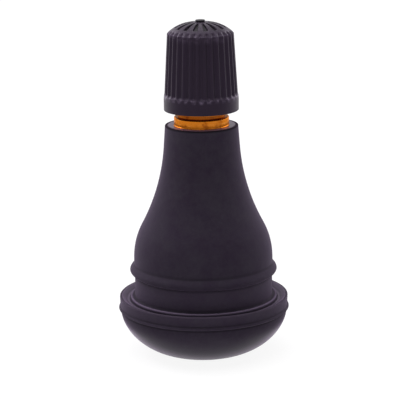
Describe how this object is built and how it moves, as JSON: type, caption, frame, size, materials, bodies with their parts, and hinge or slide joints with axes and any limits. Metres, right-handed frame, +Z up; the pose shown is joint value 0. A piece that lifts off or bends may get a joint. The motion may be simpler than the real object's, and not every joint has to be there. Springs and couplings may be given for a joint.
{
  "type": "tyre valve",
  "caption": "Snap-in tubeless tyre valve: tapered rubber body with seating flange and retaining ridge, brass stem with a screw-in core, and a fluted cap.",
  "frame": {"origin": "centre of the flat base, on the surface that the valve stands on", "axes": "+Z up along the valve's axis, from the base to the cap; the valve is round, so +X and +Y are free"},
  "size_m": [0.023, 0.023, 0.0452],
  "materials": {
    "body_rubber": "moulded, satin",
    "stem_brass": "turned",
    "cap_plastic": "moulded, satin",
    "seal_rubber": "moulded, matt",
    "core_brass": "turned",
    "gasket_plastic": "moulded, waxy",
    "spring_steel": "drawn wire"
  },
  "bodies": {
    "valve_body": {"rubber_body": "body_rubber", "stem": "stem_brass"},
    "seal_carrier": {"cap_seal": "seal_rubber"},
    "cap": {"valve_cap": "cap_plastic"},
    "core": {"core_barrel": "core_brass", "core_gasket": "gasket_plastic", "core_spring": "spring_steel"},
    "plug": {"core_plug": "core_brass"},
    "pin": {"core_pin": "core_brass", "seal_cup": "core_brass", "seal_washer": "seal_rubber"}
  },
  "joints": [
    {"name": "cap_lift", "type": "slide", "parent": "valve_body", "child": "seal_carrier", "axis": [0, 0, 1], "range_m": [0, 0.0095]},
    {"name": "cap_turn", "type": "hinge", "parent": "seal_carrier", "child": "cap", "pos_m": [0, 0, 0.0385], "axis": [0, 0, 1], "range_deg": [0, 4320]},
    {"name": "core_lift", "type": "slide", "parent": "valve_body", "child": "core", "axis": [0, 0, 1], "range_m": [0, 0.0007]},
    {"name": "core_turn", "type": "hinge", "parent": "core", "child": "plug", "pos_m": [0, 0, 0.0385], "axis": [0, 0, 1], "range_deg": [0, 360]},
    {"name": "pin_press", "type": "slide", "parent": "core", "child": "pin", "axis": [0, 0, 1], "range_m": [-0.0011, 0], "stiffness_N_per_m": 500, "deforming": ["core_spring"]}
  ],
  "couplings": [
    {"joint": "cap_turn", "follows": "cap_lift", "rad_per_m": 7913.3},
    {"joint": "core_turn", "follows": "core_lift", "rad_per_m": 8904.7}
  ]
}
